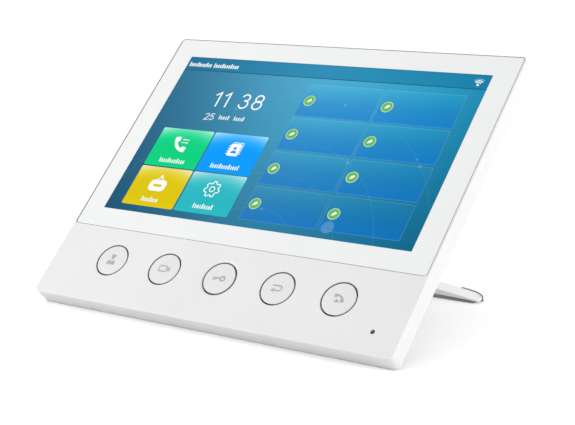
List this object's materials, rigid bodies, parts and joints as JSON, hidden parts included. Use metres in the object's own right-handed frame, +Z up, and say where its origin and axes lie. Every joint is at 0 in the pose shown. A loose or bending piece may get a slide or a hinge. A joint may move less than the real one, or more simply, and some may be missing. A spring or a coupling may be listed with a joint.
{
  "type": "video intercom monitor",
  "caption": "Flat indoor video intercom monitor with a wide touch screen, a row of round push keys and a fold-out desk stand at its back.",
  "frame": {"origin": "bottom centre of the object's box, on the table", "axes": "+Z up; the leaning front faces -Y; +X to the right of someone facing the screen"},
  "size_m": [0.177, 0.1188, 0.1056],
  "materials": {
    "white_shell": "fine satin moulded",
    "white_shell_rear": "fine textured moulded",
    "cover_glass": "polished, white printed border",
    "black_tape": "adhesive tape",
    "clear_film": "clear optical film",
    "display": "lit display panel",
    "steel_tray": "pressed tray",
    "dark_foam": "closed cell foam",
    "silicone": "moulded silicone",
    "circuit_board": "green solder mask",
    "gold_contact": "gold plated",
    "screw_steel": "zinc plated",
    "steel_can": "tinned",
    "dark_rubber": "moulded",
    "brass": "turned",
    "chip_black": "moulded",
    "antenna_film": "printed film",
    "connector_white": "moulded",
    "ribbon_film": "polyimide film",
    "magnet": "ground",
    "speaker_paper": "pressed paper",
    "socket_shell": "nickel plated",
    "terminal_plastic": "moulded",
    "stand_white": "satin moulded",
    "pin_steel": "ground",
    "sole_rubber": "moulded, fine ribs",
    "key_white": "satin moulded"
  },
  "bodies": {
    "body": {"front_housing": "white_shell", "rear_cover": "white_shell_rear", "cover_glass": "cover_glass", "glass_tape": "black_tape", "bonding_film": "clear_film", "display_cell": "display", "backlight_tray": "steel_tray", "display_foam": "dark_foam", "key_mat": "silicone", "key_board": "circuit_board", "key_contacts": "gold_contact", "key_board_screws": "screw_steel", "microphone": "steel_can", "microphone_boot": "dark_rubber", "wall_inserts": "brass", "cover_screws": "screw_steel", "bracket_screws": "screw_steel", "board_screws": "screw_steel", "main_board": "circuit_board", "processor_shield": "steel_can", "board_chips": "chip_black", "radio_module": "steel_can", "radio_antenna": "antenna_film", "power_parts": "chip_black", "ribbon_connectors": "connector_white", "display_ribbon": "ribbon_film", "touch_ribbon": "ribbon_film", "key_ribbon": "ribbon_film", "speaker_basket": "steel_can", "speaker_magnet": "magnet", "speaker_cone": "speaker_paper", "speaker_gasket": "dark_foam", "network_socket": "socket_shell", "network_contacts": "gold_contact", "wire_terminals": "terminal_plastic", "stand_bracket": "stand_white", "hinge_pin": "pin_steel", "pin_clip": "pin_steel"},
    "guard_key_body": {"guard_key": "key_white", "guard_plunger": "silicone"},
    "camera_key_body": {"camera_key": "key_white", "camera_plunger": "silicone"},
    "unlock_key_body": {"unlock_key": "key_white", "unlock_plunger": "silicone"},
    "return_key_body": {"return_key": "key_white", "return_plunger": "silicone"},
    "talk_key_body": {"talk_key": "key_white", "talk_plunger": "silicone"},
    "stand": {"stand_leg": "stand_white", "foot_sole": "sole_rubber"}
  },
  "joints": [
    {"name": "guard_press", "type": "slide", "parent": "body", "child": "guard_key_body", "axis": [0, 0.7071, -0.7071], "range_m": [0, 0.0005], "stiffness_N_per_m": 400, "springref_m": -0.001},
    {"name": "camera_press", "type": "slide", "parent": "body", "child": "camera_key_body", "axis": [0, 0.7071, -0.7071], "range_m": [0, 0.0005], "stiffness_N_per_m": 400, "springref_m": -0.001},
    {"name": "unlock_press", "type": "slide", "parent": "body", "child": "unlock_key_body", "axis": [0, 0.7071, -0.7071], "range_m": [0, 0.0005], "stiffness_N_per_m": 400, "springref_m": -0.001},
    {"name": "return_press", "type": "slide", "parent": "body", "child": "return_key_body", "axis": [0, 0.7071, -0.7071], "range_m": [0, 0.0005], "stiffness_N_per_m": 400, "springref_m": -0.001},
    {"name": "talk_press", "type": "slide", "parent": "body", "child": "talk_key_body", "axis": [0, 0.7071, -0.7071], "range_m": [0, 0.0005], "stiffness_N_per_m": 400, "springref_m": -0.001},
    {"name": "stand_fold", "type": "hinge", "parent": "body", "child": "stand", "pos_m": [0, 0.03786, 0.06129], "axis": [1, 0, 0], "range_deg": [-59.6, 0]}
  ]
}
